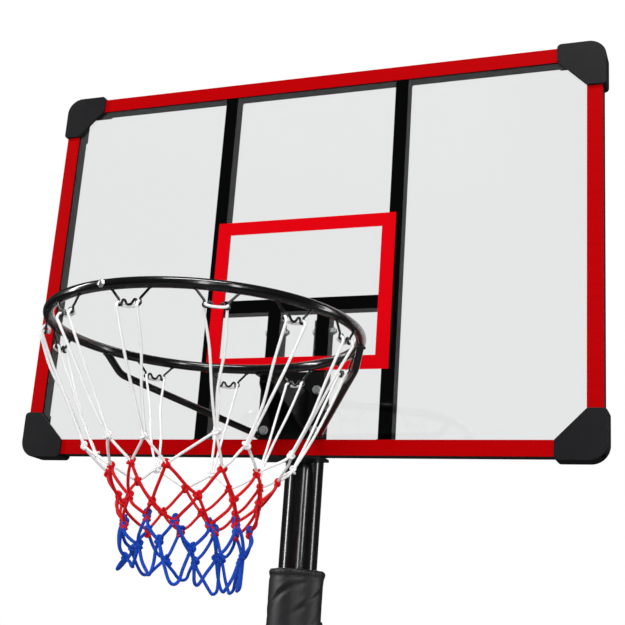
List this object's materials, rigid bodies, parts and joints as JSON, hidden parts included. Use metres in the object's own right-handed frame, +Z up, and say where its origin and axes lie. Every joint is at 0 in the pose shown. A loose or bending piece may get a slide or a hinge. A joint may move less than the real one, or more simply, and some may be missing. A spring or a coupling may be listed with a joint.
{
  "type": "portable basketball hoop",
  "caption": "Portable basketball hoop: clear framed backboard with rim and knotted net on a telescoping padded pole, standing on a wheeled water-filled base.",
  "frame": {"origin": "on the floor, in the base's underside, on the pole's axis", "axes": "+Z up the pole; -Y towards the players, the rim's side; +X to the right of a person who looks at the board from the players' side"},
  "size_m": [1.114, 1.5325, 2.934],
  "materials": {
    "clear_panel": "clear polycarbonate, glossy",
    "red_film": "red printed film, satin gloss",
    "black_steel": "black powder coat, satin gloss",
    "black_gloss_steel": "glossy black paint",
    "zinc": "bright zinc plate",
    "corner_plastic": "black moulded plastic, fine grain",
    "white_cord": "braided polyester cord, white, red and blue",
    "black_vinyl": "black vinyl cloth over foam",
    "black_plastic": "black nylon",
    "tank_plastic": "black blow-moulded polyethylene",
    "wheel_plastic": "dark grey moulded plastic",
    "spring_steel": "spring steel"
  },
  "bodies": {
    "base": {"base_tank": "tank_plastic", "bottom_pole": "black_gloss_steel", "middle_pole": "black_gloss_steel", "collar_bush": "black_plastic", "pole_pad": "black_vinyl", "lock_housing": "black_steel", "lock_spring": "spring_steel", "strut_collar": "black_steel", "strut_left": "black_steel", "strut_right": "black_steel", "strut_bolts": "zinc", "strut_nuts": "zinc", "foot_bolts": "zinc", "foot_nuts": "zinc", "axle": "zinc", "axle_caps": "zinc"},
    "upper": {"panel": "clear_panel", "border_film": "red_film", "target_film": "red_film", "net": "white_cord", "pole_cap": "black_plastic", "guide_bush": "black_plastic", "ring_screw": "zinc", "rim_bolts": "zinc", "rim_washers": "zinc", "rim_nuts": "zinc", "channel_bolts": "zinc", "channel_nuts": "zinc", "pole_bolts": "zinc", "pole_nuts": "zinc", "frame_tube_top": "black_steel", "frame_tube_bottom": "black_steel", "frame_tube_left": "black_steel", "frame_tube_right": "black_steel", "upright_left": "black_steel", "upright_right": "black_steel", "cross_tube": "black_steel", "inner_upright_left": "black_steel", "inner_upright_right": "black_steel", "foot_plate": "black_steel", "pole_channel": "black_steel", "net_hooks": "black_steel", "rim_ring": "black_gloss_steel", "rim_bracket": "black_gloss_steel", "rim_plate": "black_gloss_steel", "rim_brace_left": "black_gloss_steel", "rim_brace_right": "black_gloss_steel", "upper_pole": "black_gloss_steel", "corner_bottom_left": "corner_plastic", "corner_bottom_right": "corner_plastic", "corner_top_left": "corner_plastic", "corner_top_right": "corner_plastic"},
    "lock": {"lock_pin": "zinc", "lock_knob": "black_plastic"},
    "cap": {"filler_cap": "black_plastic"},
    "left_wheel": {"wheel_left": "wheel_plastic"},
    "right_wheel": {"wheel_right": "wheel_plastic"}
  },
  "joints": [
    {"name": "height_slide", "type": "slide", "parent": "base", "child": "upper", "axis": [0, 0, 1], "range_m": [0, 0.75]},
    {"name": "lock_pull", "type": "slide", "parent": "base", "child": "lock", "axis": [0, 1, 0], "range_m": [-0.01, 0]},
    {"name": "cap_turn", "type": "hinge", "parent": "base", "child": "cap", "pos_m": [0, 0.69, 0.16], "axis": [0, 0, 1], "range_deg": [0, 540]},
    {"name": "left_wheel_spin", "type": "hinge", "parent": "base", "child": "left_wheel", "pos_m": [-0.255, -0.15, 0.07], "axis": [1, 0, 0], "continuous": true},
    {"name": "right_wheel_spin", "type": "hinge", "parent": "base", "child": "right_wheel", "pos_m": [0.255, -0.15, 0.07], "axis": [1, 0, 0], "continuous": true}
  ]
}
